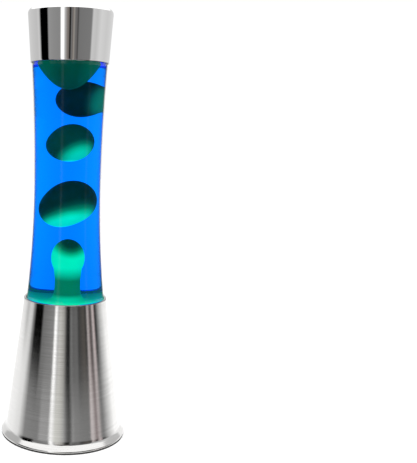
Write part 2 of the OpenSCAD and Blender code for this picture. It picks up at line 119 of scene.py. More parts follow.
def revolve(name, outline, sides=192, loop=False, sharp=35):
    # An outline of (radius, height) points swept round +Z: x = radius * cos(a), y = radius * sin(a).
    # An outline that starts or ends on the axis gets a pole there; a loop is closed onto itself.
    poles = [outline[0, 0] < 1e-9, outline[-1, 0] < 1e-9]
    ring = outline[int(poles[0]):len(outline) - int(poles[1])]
    n = len(ring)
    a = np.linspace(0, 2 * np.pi, sides, endpoint=False)
    grid = np.stack([ring[:, None, 0] * np.cos(a), ring[:, None, 0] * np.sin(a),
                     np.repeat(ring[:, None, 1], sides, 1)], 2)
    travel = np.concatenate([[0], np.cumsum(np.linalg.norm(np.diff(ring, axis=0), axis=1))])
    uv = np.stack([np.repeat(a[None] / (2 * np.pi), n, 0), np.repeat(travel[:, None], sides, 1)], 2)
    rows = n if loop else n - 1
    i, j = np.meshgrid(np.arange(rows), np.arange(sides), indexing="ij")
    up, on = (i + 1) % n, (j + 1) % sides
    quads = np.stack([i * sides + j, i * sides + on, up * sides + on, up * sides + j], 2)
    faces = quads.reshape(-1, 4).tolist()
    points, uv = grid.reshape(-1, 3), uv.reshape(-1, 2)
    j = np.arange(sides)
    on = (j + 1) % sides
    for first in (True, False):
        if poles[0 if first else 1]:
            tip = outline[0 if first else -1, 1]
            start = 0 if first else (n - 1) * sides
            around = (start + on, start + j) if first else (start + j, start + on)
            faces += np.stack([np.full(sides, len(points)), *around], 1).tolist()
            points = np.concatenate([points, [[0, 0, tip]]])
            uv = np.concatenate([uv, [[0.5, uv[start, 1]]]])

    def closing(mesh, u, nearSeam=0.1):
        # A face that crosses the seam reads u = 1 there, and not 0.
        sizes = np.zeros(len(mesh.polygons), int)
        mesh.polygons.foreach_get("loop_total", sizes)
        face = np.repeat(np.arange(len(sizes)), sizes)
        highest = np.zeros(len(sizes))
        np.maximum.at(highest, face, u)
        return np.where((highest[face] > 1 - nearSeam) & (u < nearSeam), u + 1, u)

    return newPiece(name, points, faces, uv, sharp, closing)


def place(piece, matrix):
    # Moves the mesh, and leaves the piece's own origin where it is.
    piece.data.transform(matrix)
    piece.data.update()


settingsOf = {
    "rough": "Roughness", "metal": "Metallic", "clear": "Transmission Weight", "ior": "IOR",
    "grain": "Anisotropic", "turn": "Anisotropic Rotation", "coat": "Coat Weight",
    "coatRough": "Coat Roughness", "skin": "Subsurface Weight", "level": "Specular IOR Level",
}


def newMaterial(name, colour, **settings):
    # A Principled surface with constant values on its own sockets.
    m = bpy.data.materials.new(name)
    m.use_nodes = True
    shader = m.node_tree.nodes["Principled BSDF"]
    shader.inputs["Base Color"].default_value = (*colour, 1)
    for key, value in settings.items():
        shader.inputs[settingsOf[key]].default_value = value
    return m, m.node_tree, shader


def mathNode(tree, kind, a, b=None, c=None):
    n = tree.nodes.new("ShaderNodeMath")
    n.operation = kind
    for k, v in enumerate((a, b, c)):
        if v is None:
            continue
        if isinstance(v, (int, float)):
            n.inputs[k].default_value = v
        else:
            tree.links.new(v, n.inputs[k])
    return n.outputs[0]


def rampNode(tree, value, stops):
    # Stops are (position, colour or grey).
    n = tree.nodes.new("ShaderNodeValToRGB")
    points = n.color_ramp.elements
    while len(points) < len(stops):
        points.new(0.5)
    for point, (at, tone) in zip(points, stops):
        point.position = at
        point.color = (tone, tone, tone, 1) if isinstance(tone, (int, float)) else (*tone, 1)
    tree.links.new(value, n.inputs[0])
    return n.outputs[0]


def mixNode(tree, share, a, b):
    n = tree.nodes.new("ShaderNodeMix")
    n.data_type = "RGBA"
    for socket, v in ((n.inputs["Factor"], share), (n.inputs[6], a), (n.inputs[7], b)):
        if isinstance(v, (int, float)):
            socket.default_value = v
        elif isinstance(v, tuple):
            socket.default_value = (*v, 1)
        else:
            tree.links.new(v, socket)
    return n.outputs[2]


def rangeNode(tree, value, low, high):
    # 0 below the low value and 1 above the high one.
    n = tree.nodes.new("ShaderNodeMapRange")
    n.inputs["From Min"].default_value, n.inputs["From Max"].default_value = low, high
    tree.links.new(value, n.inputs[0])
    return n.outputs[0]


def noiseNode(tree, vector, scale, detail, rough=0.5):
    n = tree.nodes.new("ShaderNodeTexNoise")
    n.inputs["Detail"].default_value = detail
    n.inputs["Roughness"].default_value = rough
    tree.links.new(vector, n.inputs["Vector"])
    if isinstance(scale, (int, float)):
        n.inputs["Scale"].default_value = scale
    else:
        tree.links.new(scale, n.inputs["Scale"])
    return n.outputs[0]


def splitNode(tree, vector):
    n = tree.nodes.new("ShaderNodeSeparateXYZ")
    tree.links.new(vector, n.inputs[0])
    return n.outputs


def newGroup(name, inputs, outputs):
    g = bpy.data.node_groups.new(name, "ShaderNodeTree")
    for label, kind, value in inputs:
        socket = g.interface.new_socket(label, in_out="INPUT", socket_type=kind)
        if value is not None:
            socket.default_value = value
    for label, kind in outputs:
        g.interface.new_socket(label, in_out="OUTPUT", socket_type=kind)
    return g, g.nodes.new("NodeGroupInput").outputs, g.nodes.new("NodeGroupOutput").inputs


def placeGroup(tree, group, vector, **values):
    n = tree.nodes.new("ShaderNodeGroup")
    n.node_tree = group
    tree.links.new(vector, n.inputs["Vector"])
    for label, value in values.items():
        n.inputs[label].default_value = value
    return n.outputs


def coordinates(tree, kind="Object"):
    return tree.nodes.new("ShaderNodeTexCoord").outputs[kind]


def surfaceDetail(tree, shader, height, depth, rough=None):
    # Height feeds a bump of that depth in metres, and rough replaces the plain roughness.
    bump = tree.nodes.new("ShaderNodeBump")
    bump.inputs["Distance"].default_value = depth
    tree.links.new(height, bump.inputs["Height"])
    tree.links.new(bump.outputs[0], shader.inputs["Normal"])
    if rough is not None:
        tree.links.new(rough, shader.inputs["Roughness"])


def brushLines():
    # Fine lines round a turned part: noise stretched along u of the piece's own map.
    g, given, out = newGroup("brushLines", [
        ("Vector", "NodeSocketVector", None), ("Around", "NodeSocketFloat", 6.0),
        ("Across", "NodeSocketFloat", 2500.0)],
        [("Lines", "NodeSocketFloat"), ("Patches", "NodeSocketFloat")])
    u, v, _ = splitNode(g, given["Vector"])
    join = g.nodes.new("ShaderNodeCombineXYZ")
    g.links.new(mathNode(g, "MULTIPLY", u, given["Around"]), join.inputs[0])
    g.links.new(mathNode(g, "MULTIPLY", v, given["Across"]), join.inputs[1])
    g.links.new(noiseNode(g, join.outputs[0], 1, 4, 0.65), out["Lines"])
    g.links.new(noiseNode(g, join.outputs[0], 0.08, 3), out["Patches"])
    return g


def fineGrain():
    # Two sizes of noise, one for bump and one for soft patches of colour.
    g, given, out = newGroup("fineGrain", [
        ("Vector", "NodeSocketVector", None), ("Scale", "NodeSocketFloat", 2000.0)],
        [("Grain", "NodeSocketFloat"), ("Patches", "NodeSocketFloat")])
    broad = mathNode(g, "MULTIPLY", given["Scale"], 0.06)
    g.links.new(noiseNode(g, given["Vector"], given["Scale"], 3), out["Grain"])
    g.links.new(noiseNode(g, given["Vector"], broad, 2), out["Patches"])
    return g


brushGroup = brushLines()
grainGroup = fineGrain()


def plainFinish(name, colour, patch, scale=1500.0, depth=0.03 * mm, spread=0.1, **settings):
    # A finish with fine grain, soft patches between two colours, and roughness that varies by spread.
    m, tree, shader = newMaterial(name, colour, **settings)
    grain = placeGroup(tree, grainGroup, coordinates(tree), Scale=scale)
    tree.links.new(mixNode(tree, grain["Patches"], colour, patch), shader.inputs["Base Color"])
    rough = settings.get("rough", 0.5)
    varied = mathNode(tree, "MULTIPLY_ADD", grain["Patches"], spread, rough - spread / 2)
    surfaceDetail(tree, shader, grain["Grain"], depth, varied)
    return m


def brushedSteel():
    # Turned steel: fine lines round the part stretch its reflections up and down.
    dull, bright = (0.62, 0.615, 0.60), (0.86, 0.855, 0.85)
    m, tree, shader = newMaterial("brushedSteel", (0.76, 0.755, 0.745), metal=1.0, rough=0.08,
                                  grain=0.9, turn=0.25)
    lines = placeGroup(tree, brushGroup, coordinates(tree, "UV"), Around=5.0, Across=3200.0)
    tone = rampNode(tree, lines["Lines"], [(0.3, dull), (0.7, bright)])
    tree.links.new(tone, shader.inputs["Base Color"])
    rough = mathNode(tree, "MULTIPLY_ADD", lines["Patches"], 0.05, 0.055)
    surfaceDetail(tree, shader, lines["Lines"], 0.02 * mm, rough)
    tangent = tree.nodes.new("ShaderNodeTangent")
    tangent.direction_type, tangent.axis = "RADIAL", "Z"
    tree.links.new(tangent.outputs[0], shader.inputs["Tangent"])
    return m


def chromePlate():
    # A mirror with the faintest turning marks.
    m, tree, shader = newMaterial("chromePlate", (0.93, 0.925, 0.92), metal=1.0, rough=0.03)
    lines = placeGroup(tree, brushGroup, coordinates(tree, "UV"), Around=3.0, Across=900.0)
    rough = mathNode(tree, "MULTIPLY_ADD", lines["Patches"], 0.05, 0.01)
    surfaceDetail(tree, shader, lines["Lines"], 0.0015 * mm, rough)
    return m


def bottleGlass():
    # A thin clear skin: what is behind it shows through, and its outer face reflects by Fresnel.
    m = bpy.data.materials.new("bottleGlass")
    m.use_nodes = True
    tree = m.node_tree
    tree.nodes.clear()
    see = tree.nodes.new("ShaderNodeBsdfTransparent")
    see.inputs[0].default_value = (0.985, 0.995, 1, 1)
    shine = tree.nodes.new("ShaderNodeBsdfAnisotropic")
    shine.inputs["Roughness"].default_value = 0.02
    edge = tree.nodes.new("ShaderNodeFresnel")
    edge.inputs["IOR"].default_value = 1.3
    back = tree.nodes.new("ShaderNodeNewGeometry").outputs["Backfacing"]
    front = mathNode(tree, "MULTIPLY", edge.outputs[0], mathNode(tree, "SUBTRACT", 1.0, back))
    mix = tree.nodes.new("ShaderNodeMixShader")
    for k, v in enumerate((front, see.outputs[0], shine.outputs[0])):
        tree.links.new(v, mix.inputs[k])
    out = tree.nodes.new("ShaderNodeOutputMaterial")
    tree.links.new(mix.outputs[0], out.inputs["Surface"])
    return m


def blueLiquid():
    # Clear like water, and bluer the further the light goes through it.
    m, tree, shader = newMaterial("blueLiquid", (0.04, 0.62, 1.0), clear=1.0, rough=0.0, ior=1.33)
    tint = tree.nodes.new("ShaderNodeVolumeAbsorption")
    tint.inputs["Color"].default_value = (0.0, 0.88, 1.0, 1)
    tint.inputs["Density"].default_value = 170
    tree.links.new(tint.outputs[0], tree.nodes["Material Output"].inputs["Volume"])
    return m


def greenWax():
    # Wax with the light of the bulb below painted on it as a glow: the painted light's colour is stored on
    # the piece, with soft uneven patches.
    m, tree, shader = newMaterial("greenWax", (0.0, 0.014, 0.010), rough=0.5, level=0.05)
    grain = placeGroup(tree, grainGroup, coordinates(tree), Scale=420.0)
    glow = tree.nodes.new("ShaderNodeAttribute")
    glow.attribute_name = "glow"
    lit = tree.nodes.new("ShaderNodeMix")
    lit.data_type, lit.blend_type = "RGBA", "MULTIPLY"
    lit.inputs["Factor"].default_value = 1
    tree.links.new(glow.outputs["Color"], lit.inputs[6])
    tree.links.new(rampNode(tree, grain["Patches"], [(0.3, 0.82), (0.7, 1.0)]), lit.inputs[7])
    # The painted glow, with its uneven patches, is the wax's emission.
    tree.links.new(lit.outputs[2], shader.inputs["Emission Color"])
    shader.inputs["Emission Strength"].default_value = 2.0
    surfaceDetail(tree, shader, grain["Patches"], 0.1 * mm)
    return m


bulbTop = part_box("bulb_envelope")[1].z
bulb = {
    "front": (bulbTop - 13 * mm, bulbTop - 11.5 * mm),     # heights where the silvering ends
    "silver": (0.80, 0.80, 0.80), "worn": (0.68, 0.68, 0.69), "frost": (0.92, 0.88, 0.80),
    "glow": (1.0, 0.72, 0.42), "strength": 0.9,
}


def frostedBulb(b):
    # Silvered below and frosted in front, where the light comes out.
    m, tree, shader = newMaterial("frostedBulb", (0.90, 0.88, 0.84), rough=0.35)
    grain = placeGroup(tree, grainGroup, coordinates(tree), Scale=2500.0)
    front = rangeNode(tree, splitNode(tree, coordinates(tree))[2], *b["front"])
    silver = mixNode(tree, grain["Patches"], b["silver"], b["worn"])
    tree.links.new(mixNode(tree, front, silver, b["frost"]), shader.inputs["Base Color"])
    tree.links.new(mathNode(tree, "SUBTRACT", 1.0, front), shader.inputs["Metallic"])
    tree.links.new(mixNode(tree, front, (0, 0, 0), b["glow"]), shader.inputs["Emission Color"])
    shader.inputs["Emission Strength"].default_value = b["strength"]
    m.cycles.emission_sampling = "NONE"
    surfaceDetail(tree, shader, grain["Grain"], 0.02 * mm)
    return m


finishes = {
    "steel_brushed": brushedSteel(),
    "chrome": chromePlate(),
    "bottle_glass": bottleGlass(),
    "liquid_blue": blueLiquid(),
    "wax_green": greenWax(),
    "steel_plain": plainFinish("plainSteel", (0.62, 0.63, 0.64), (0.50, 0.51, 0.53), 600.0,
                               metal=1.0, rough=0.38),
    "zinc_screw": plainFinish("zincPlate", (0.70, 0.70, 0.66), (0.58, 0.59, 0.56), 2500.0,
                              metal=1.0, rough=0.3),
    "rubber_black": plainFinish("blackRubber", (0.022, 0.022, 0.022), (0.035, 0.034, 0.033), 3000.0,
                                0.05 * mm, rough=0.75),
    "silicone": plainFinish("whiteSilicone", (0.78, 0.78, 0.75), (0.70, 0.70, 0.67), 1200.0,
                            rough=0.5, skin=0.2),
    "bakelite": plainFinish("phenolic", (0.018, 0.017, 0.018), (0.03, 0.027, 0.026), 900.0,
                            0.01 * mm, rough=0.28, coat=0.3, coatRough=0.15),
    "black_plastic": plainFinish("blackPlastic", (0.03, 0.03, 0.032), (0.045, 0.045, 0.047), 2500.0,
                                 rough=0.5),
    "white_plastic": plainFinish("whitePlastic", (0.82, 0.82, 0.78), (0.76, 0.76, 0.72), 1500.0,
                                 rough=0.4),
    "ceramic": plainFinish("ceramic", (0.86, 0.84, 0.78), (0.78, 0.76, 0.70), 1500.0,
                           rough=0.35, coat=0.4),
    "brass": plainFinish("brass", (0.80, 0.60, 0.28), (0.66, 0.46, 0.2), 900.0, 0.01 * mm,
                         metal=1.0, rough=0.27),
    "contact_bronze": plainFinish("bronze", (0.66, 0.42, 0.24), (0.5, 0.3, 0.18), 900.0,
                                  metal=1.0, rough=0.33),
    "solder": plainFinish("tinned", (0.66, 0.66, 0.67), (0.5, 0.5, 0.52), 1200.0, 0.08 * mm,
                          metal=1.0, rough=0.34),
    "insulator_glass": plainFinish("blackGlass", (0.012, 0.012, 0.02), (0.02, 0.02, 0.03), 900.0,
                                   0.005 * mm, rough=0.12, coat=0.6),
    "bulb_glass": frostedBulb(bulb),
    "stem_glass": plainFinish("stemGlass", (0.85, 0.9, 0.9), (0.8, 0.86, 0.86), 1500.0, rough=0.1),
    "tungsten": plainFinish("tungsten", (0.28, 0.27, 0.28), (0.2, 0.2, 0.2), 4000.0,
                            metal=1.0, rough=0.4),
    "crown_steel": plainFinish("crownSteel", (0.74, 0.72, 0.68), (0.64, 0.62, 0.58), 1500.0, 0.01 * mm,
                               metal=1.0, rough=0.25),
    "sealing_white": plainFinish("sealPlastic", (0.82, 0.82, 0.78), (0.74, 0.74, 0.70), 1500.0,
                                 rough=0.5),
    "live_brown": plainFinish("brownLead", (0.16, 0.06, 0.025), (0.12, 0.045, 0.02), 2500.0, rough=0.4),
    "neutral_blue": plainFinish("blueLead", (0.03, 0.13, 0.45), (0.025, 0.1, 0.36), 2500.0, rough=0.4),
    "earth_green_yellow": plainFinish("earthLead", (0.30, 0.50, 0.03), (0.25, 0.42, 0.03), 2500.0,
                                      rough=0.4),
}
slotOf = {row["node"]: row["material_slot"] for row in frame["record"]["subparts"]}
for name, node in nodes.items():
    node.data.materials.clear()
    node.data.materials.append(finishes[slotOf[name]])
print("finishes:", len(finishes))


def stand(piece, body, slot, *replaced):
    # The piece takes its slot's finish, rides on its body and stands for the nodes named.
    piece.data.materials.append(finishes[slot])
    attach(piece, body)
    if replaced:
        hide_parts(*replaced)
    return piece


baseLow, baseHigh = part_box("base_shell")
base = {
    "top": baseHigh.z, "under": baseLow.z, "wall": 0.8 * mm,
    "rim": 38.7 * mm, "bead": 0.6 * mm, "roll": 1.0 * mm,      # the rolled rim's half height and half width
    "beadInset": 0.85 * mm, "beadDrop": 0.4 * mm, "beadArc": (-20, 190),
    "crease": (53.9 * mm, 7 * mm), "creaseRise": 0.8 * mm, "creaseFoot": (0.35 * mm, -0.15 * mm),
    "foot": baseHigh.x, "hem": 1.1 * mm, "hemArc": (150, 405),
    "hemInside": (-0.3 * mm, 0.4 * mm), "hemOutside": (0.78 * mm, 0.78 * mm),    # from the hem's centre
    "flange": (1.0 * mm, -0.75 * mm),      # where it starts below the crease, from the crease
    "hole": 6 * mm, "holePlace": (0, 50 * mm, 19 * mm), "holeLength": 20 * mm,
}


def near(at, step):
    # The point that is one step out and up from another.
    return (at[0] + step[0], at[1] + step[1])


def baseShell(b):
    # Outline: inside of the cone down to the flare, round the hem, up over the flange and its crease,
    # up the straight cone, and round the rolled bead at the rim.
    creaseX, creaseZ = b["crease"]
    beadX, beadZ = b["rim"] - b["beadInset"], b["top"] - b["bead"]
    hem = (b["foot"] - b["hem"], b["under"] + b["hem"])
    inside = (creaseX - b["wall"], creaseZ)
    lean = (b["rim"] - creaseX) / (beadZ - creaseZ)
    coneFoot = (creaseX + lean * b["creaseRise"], creaseZ + b["creaseRise"])
    stretch = np.array([b["roll"] / b["bead"], 1])    # the rolled rim is wider than it is tall
    outline = path(
        line((b["rim"] - b["wall"], beadZ), inside, 24),
        line(inside, near(hem, b["hemInside"]), 8),
        arc(*hem, b["hem"], *b["hemArc"], 18),
        line(near(hem, b["hemOutside"]), near(b["crease"], b["flange"]), 8),
        line(near(b["crease"], b["creaseFoot"]), coneFoot, 3),
        line(coneFoot, (b["rim"], beadZ - b["beadDrop"]), 40),
        arc(beadX, beadZ, b["bead"], *b["beadArc"], 24) * stretch + [beadX * (1 - stretch[0]), 0])
    return revolve("coneShell", outline, 256, loop=True, sharp=25)


def cutRound(piece, r, centre, length, sides=48):
    # A round hole along Y: a rod with that many sides, round the centre, is taken away.
    a = np.linspace(0, 2 * np.pi, sides, endpoint=False)
    rim = np.stack([r * np.cos(a), np.full(sides, -length / 2), r * np.sin(a)], 1)
    points = np.concatenate([rim, rim + [0, length, 0]]) + centre
    j = np.arange(sides)
    on = (j + 1) % sides
    ends = [j.tolist(), (j[::-1] + sides).tolist()]
    faces = np.stack([j, j + sides, on + sides, on], 1).tolist() + ends
    mesh = bpy.data.meshes.new("cutter")
    mesh.from_pydata(points.tolist(), [], faces)
    cutter = bpy.data.objects.new("cutter", mesh)
    bpy.context.collection.objects.link(cutter)
    cut = piece.modifiers.new("hole", "BOOLEAN")
    cut.object, cut.operation, cut.solver = cutter, "DIFFERENCE", "EXACT"
    whole = piece.evaluated_get(bpy.context.evaluated_depsgraph_get())
    piece.data = bpy.data.meshes.new_from_object(whole)
    piece.modifiers.clear()
    bpy.data.objects.remove(cutter)
    bpy.data.meshes.remove(mesh)


shell = baseShell(base)
cutRound(shell, base["hole"], base["holePlace"], base["holeLength"])
stand(shell, "base", "steel_brushed", "base_shell")
print("base shell:", len(shell.data.polygons), "faces")

bottleLow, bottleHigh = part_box("glass_bottle")
bottle = {
    "bottom": bottleLow.z, "top": bottleHigh.z, "wall": 0.65 * mm,
    "waist": 31.15 * mm, "waistHeight": 234 * mm, "upperCurve": 1.7, "lowerCurve": 1.0,
    "heel": 36.4 * mm, "heelCorner": 7 * mm, "shoulderHeight": 346 * mm, "shoulderCorner": 10 * mm,
    "shoulderFrom": 6, "shoulderAngle": 70, "neck": 13 * mm, "neckFillet": 3 * mm,
    "lip": 14.2 * mm, "lipHeight": 4 * mm, "lipRound": 0.8 * mm, "lipDrop": 2.4 * mm,
    "film": 0.05 * mm,                                         # room between the glass and what fills it
    "pool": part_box("liquid")[0].z, "poolOverlap": 0.4 * mm,    # the liquid reaches that far into the pool
    "liquidFrom": 1.5 * mm, "liquidInNeck": 6 * mm,
}


def sideRadius(b, z, inset):
    # Two long circular curves that meet at the waist, moved inwards by the inset.
    curve = np.where(z > b["waistHeight"], b["upperCurve"], b["lowerCurve"]) + inset
    return b["waist"] - inset + curve - np.sqrt(curve ** 2 - (z - b["waistHeight"]) ** 2)


def bottleSide(b, low, inset):
    # The side from a low height, past the waist, to the shoulder.
    z = np.concatenate([np.linspace(low, b["waistHeight"], 40),
                        np.linspace(b["waistHeight"], b["shoulderHeight"], 36)[1:]])
    return np.stack([sideRadius(b, z, inset), z], 1)


def bottleNeck(b, inset):
    # Shoulder and neck corners, joined by a straight slope; the first result is the neck's lowest height.
    angle = math.radians(b["shoulderAngle"])
    shoulder = sideRadius(b, b["shoulderHeight"], 0)
    run = (shoulder - b["shoulderCorner"] * (1 - math.cos(angle)) - b["neck"]
           - b["neckFillet"] * (1 - math.cos(angle)))
    neckZ = (b["shoulderHeight"] + b["shoulderCorner"] * math.sin(angle) + run / math.tan(angle)
             + b["neckFillet"] * math.sin(angle))
    return neckZ, path(
        arc(shoulder - b["shoulderCorner"], b["shoulderHeight"], b["shoulderCorner"] - inset,
            b["shoulderFrom"], b["shoulderAngle"], 14),
        arc(b["neck"] + b["neckFillet"], neckZ, b["neckFillet"] + inset, 180 + b["shoulderAngle"], 180, 8))


def heelCorner(b, inset, floor):
    # The floor from the axis, and the round corner where the side starts.
    corner = b["heelCorner"] - inset
    return path([[0, floor]], arc(b["heel"] - b["heelCorner"], floor + corner, corner, -90, 0, 12))


def bottleOutline(b, inset, floor):
    # Floor, heel, side, shoulder and neck; the side starts where its lower curve is as wide as the heel.
    drop = math.sqrt(b["lowerCurve"] ** 2 - (b["lowerCurve"] - b["heel"] + b["waist"]) ** 2)
    return path(heelCorner(b, inset, floor), bottleSide(b, b["waistHeight"] - drop, inset),
                bottleNeck(b, inset)[1])


def bottleGlassPiece(b):
    # Outside from the middle of the floor to the lip, then the inside back down to the floor.
    outside = bottleOutline(b, 0, b["bottom"])
    inside = bottleOutline(b, b["wall"], b["bottom"] + b["wall"])[::-1]
    lipX, r = b["lip"] - b["lipRound"], b["lipRound"]
    lip = path([[b["neck"], b["top"] - b["lipHeight"]]], arc(lipX, b["top"] - b["lipDrop"], r, -60, 0, 5),
               arc(lipX, b["top"] - r, r, 0, 90, 5), [[b["neck"] - b["wall"], b["top"]]])
    return revolve("bottleGlass", path(outside, lip, inside), 192)


glass = bottleGlassPiece(bottle)
stand(glass, "bottle", "bottle_glass", "glass_bottle")


def liquidPiece(b):
    # Fills the bottle from the wax pool to a level in the neck.
    inset, step = b["wall"] + b["film"], b["poolOverlap"]
    side = b["heel"] - inset
    neckZ, neck = bottleNeck(b, inset)
    low, level = b["pool"] - step, neckZ + b["liquidInNeck"]
    outline = path([[0, low]], [[side - step, low]], [[side, low + step]],
                   bottleSide(b, b["pool"] + b["liquidFrom"], inset), neck,
                   [[b["neck"] - inset, level], [0, level]])
    return revolve("blueLiquid", outline, 192)


liquid = liquidPiece(bottle)
stand(liquid, "bottle", "liquid_blue", "liquid")
print("bottle and liquid ready")

# Each lump of wax, in mm and degrees. It is pulled or pushed round each way in bends; its painted light
# comes from one way, and goes from painted shade to painted light between the two edges, which are cosines;
# line adds a painted highlight where it faces straight down.
waxLumps = {
    "wax_upper": {"centre": (6.9, 13, 314.7), "radius": 15.2, "up": 15.8, "down": 16, "tilt": 0,
                  "bends": [((0.62, 0.3, 0.72), 0.16)],
                  "light": (1, -0.25, -0.15), "edge": (0.4, 1.0), "dark": 0.07, "bright": 0.5, "line": 0},
    "wax_middle": {"centre": (1.1, 0, 275), "radius": 16.7, "up": 17.2, "down": 17.2, "tilt": 0,
                   "bends": [((-0.75, 0, 0.66), -0.10), ((0.8, 0, 0.6), 0.05), ((-0.8, 0, -0.6), 0.05)],
                   "light": (0.42, -0.48, -0.75), "edge": (0.38, 1.0), "dark": 0.18, "bright": 0.84,
                   "line": 0.3},
    "wax_lower": {"centre": (1, 0, 216.5), "radius": 19, "up": 24, "down": 20.6, "tilt": 20,
                  "bends": [((-0.6, 0, -0.8), 0.13), ((0.7, 0, -0.7), -0.14), ((0.6, 0, 0.8), 0.03)],
                  "light": (0.1, -0.36, -0.9), "edge": (0.08, 0.84), "dark": 0.07, "bright": 0.88,
                  "line": 0.12},
}
# The dome's painted light: a level in front, and more where it faces sideways.
waxDome = {"centre": (-0.6, -6, 346), "radius": 23.5, "up": 6.5, "down": 23.2,
           "front": 0.24, "side": 0.06, "edge": (0.2, 0.9)}
waxPool = {
    "across": 1.4,                                             # the column stands that far to the right
    "head": (11.8, 18), "headHeight": 167.5, "headFrom": -33,    # half width and half height, then its place
    "foot": [(14, 127.7), (12, 128.6), (10.6, 130.5), (9.6, 134), (9.1, 139), (9, 147)],
    "flat": 17, "floorGap": 0.1, "edge": (0.5, 0.3),
    "crownCentre": (4, 186), "crownEdge": (5, 20),             # painted shade: the head is dark round that x and z
    "column": ((148, 151, 154, 161), (0.32, 0.34, 0.68, 0.82)), "columnLevel": 0.2,    # heights, painted light levels
    "top": ((-34, -14, 4, 30), (1.0, 0.86, 0.66, 0.62)),       # painted light levels, from the front to the back
    # The top is painted darker towards its sides, between two widths, by its drop.
    "topEdge": (16, 34), "topDrop": 0.04,
    "wall": ((106, 116, 126), (0.86, 0.7, 0.5)),               # heights, painted light levels
    "wallTop": 126.5, "topEnd": 131, "green": (0.35, 0.9), "greenEdge": (14, 32),
}
# Colours of the wax's painted glow, from painted shade to painted light.
paintedWaxLightTones = np.array([(0, 0.004, 0.004), (0, 0.05, 0.022), (0, 0.19, 0.07), (0, 0.53, 0.2), (0, 0.95, 0.45)])


def lumpOutline(s):
    # Two half ellipses, one above the widest place and one below it.
    a = np.radians(np.linspace(-90, 90, 97))
    r = s["radius"] * np.cos(a)
    z = np.where(a > 0, s["up"], s["down"]) * np.sin(a)
    r[[0, -1]] = 0
    return np.stack([r, z], 1) * mm


def domeOutline(s):
    # A paraboloid below the rim and a low half ellipse above it.
    t = np.linspace(0, 1, 60) ** 2
    below = np.stack([s["radius"] * np.sqrt(t), s["down"] * (t - 1)], 1)
    a = np.radians(np.linspace(0, 90, 24))[1:]
    above = np.stack([s["radius"] * np.cos(a), s["up"] * np.sin(a)], 1)
    above[-1, 0] = 0
    return np.concatenate([below, above]) * mm


def poolOutline(b, s):
    # The pool fills the heel of the bottle, and a column with a rounded head rises from its middle.
    inset = b["wall"] + b["film"]
    side = b["heel"] - inset
    floor = b["bottom"] + b["wall"] + s["floorGap"] * mm
    rimIn, rimDown = np.array(s["edge"]) * mm
    a = np.radians(np.linspace(s["headFrom"], 90, 60))
    column = np.stack([s["head"][0] * np.cos(a), s["headHeight"] + s["head"][1] * np.sin(a)], 1) * mm
    column[-1, 0] = 0
    return path(heelCorner(b, inset, floor), [[side, b["pool"] - rimDown]], [[side - rimIn, b["pool"]]],
                line((side - rimIn, b["pool"]), (s["flat"] * mm, b["pool"]), 10),
                np.array(s["foot"]) * mm, column)


def vertexRows(piece, kind):
    flat = np.zeros(len(piece.data.vertices) * 3)
    piece.data.vertices.foreach_get(kind, flat)
    return flat.reshape(-1, 3)


def bendLump(piece, s):
    # Pulls the lump out, or pushes it in, round a few ways: by the cube of the cosine with each one.
    at = vertexRows(piece, "co")
    unit = at / np.linalg.norm(at, axis=1, keepdims=True)
    pull = 1 + sum(amount * np.clip(unit @ np.array(way), 0, 1) ** 3 for way, amount in s["bends"])
    piece.data.vertices.foreach_set("co", (at * pull[:, None]).ravel())
    piece.data.update()


def smooth(low, high, v):
    # 0 below low, 1 above high, and 3 t squared less 2 t cubed between them.
    t = np.clip((v - low) / (high - low), 0, 1)
    return t * t * (3 - 2 * t)


def storePaintedGlow(piece, level, green=0):
    # One painted light level from 0 to 1 per vertex becomes a colour of the wax's painted glow; green takes
    # some of the blue away.
    stops = np.linspace(0, 1, len(paintedWaxLightTones))
    colour = np.stack([np.interp(level, stops, paintedWaxLightTones[:, k]) for k in range(3)] + [np.ones(len(level))], 1)
    colour[:, 2] *= 1 - green
    layer = piece.data.attributes.new("glow", "FLOAT_COLOR", "POINT")
    layer.data.foreach_set("color", colour.astype(np.float32).ravel())


def lumpPaintedLight(piece, s):
    # Painted light from one side below: the level rises with the cosine between the normal and that way,
    # from the painted shade level to the painted light one, with a thin painted highlight line where the
    # lump faces straight down.
    normal = vertexRows(piece, "normal")
    way = np.array(s["light"]) / np.linalg.norm(s["light"])
    level = s["dark"] + (s["bright"] - s["dark"]) * smooth(*s["edge"], normal @ way)
    return level + s["line"] * smooth(0.86, 1.0, -normal[:, 2])


def domePaintedLight(piece, s):
    # Painted light: a little brighter where the dome faces sideways.
    return s["front"] + s["side"] * smooth(*s["edge"], np.abs(vertexRows(piece, "normal")[:, 0]))


def poolPaintedLight(piece, s):
    # Painted light and shade: the head is painted bright below a painted dark crown, the neck is painted
    # darker, and the pool is painted brightest in front and bluer at its sides. The second result is how
    # green each point's painted glow is.
    x, y, z = vertexRows(piece, "co").T / mm
    crownShadeMask = smooth(*s["crownEdge"], np.hypot(x - s["crownCentre"][0], z - s["crownCentre"][1]))
    column = s["columnLevel"] + np.interp(z, *s["column"]) * crownShadeMask
    top = np.interp(y, *s["top"]) - s["topDrop"] * smooth(*s["topEdge"], np.abs(x))
    level = np.where(z < s["wallTop"], np.interp(z, *s["wall"]), np.where(z < s["topEnd"], top, column))
    return level, s["green"][0] - s["green"][1] * smooth(*s["greenEdge"], np.abs(x))


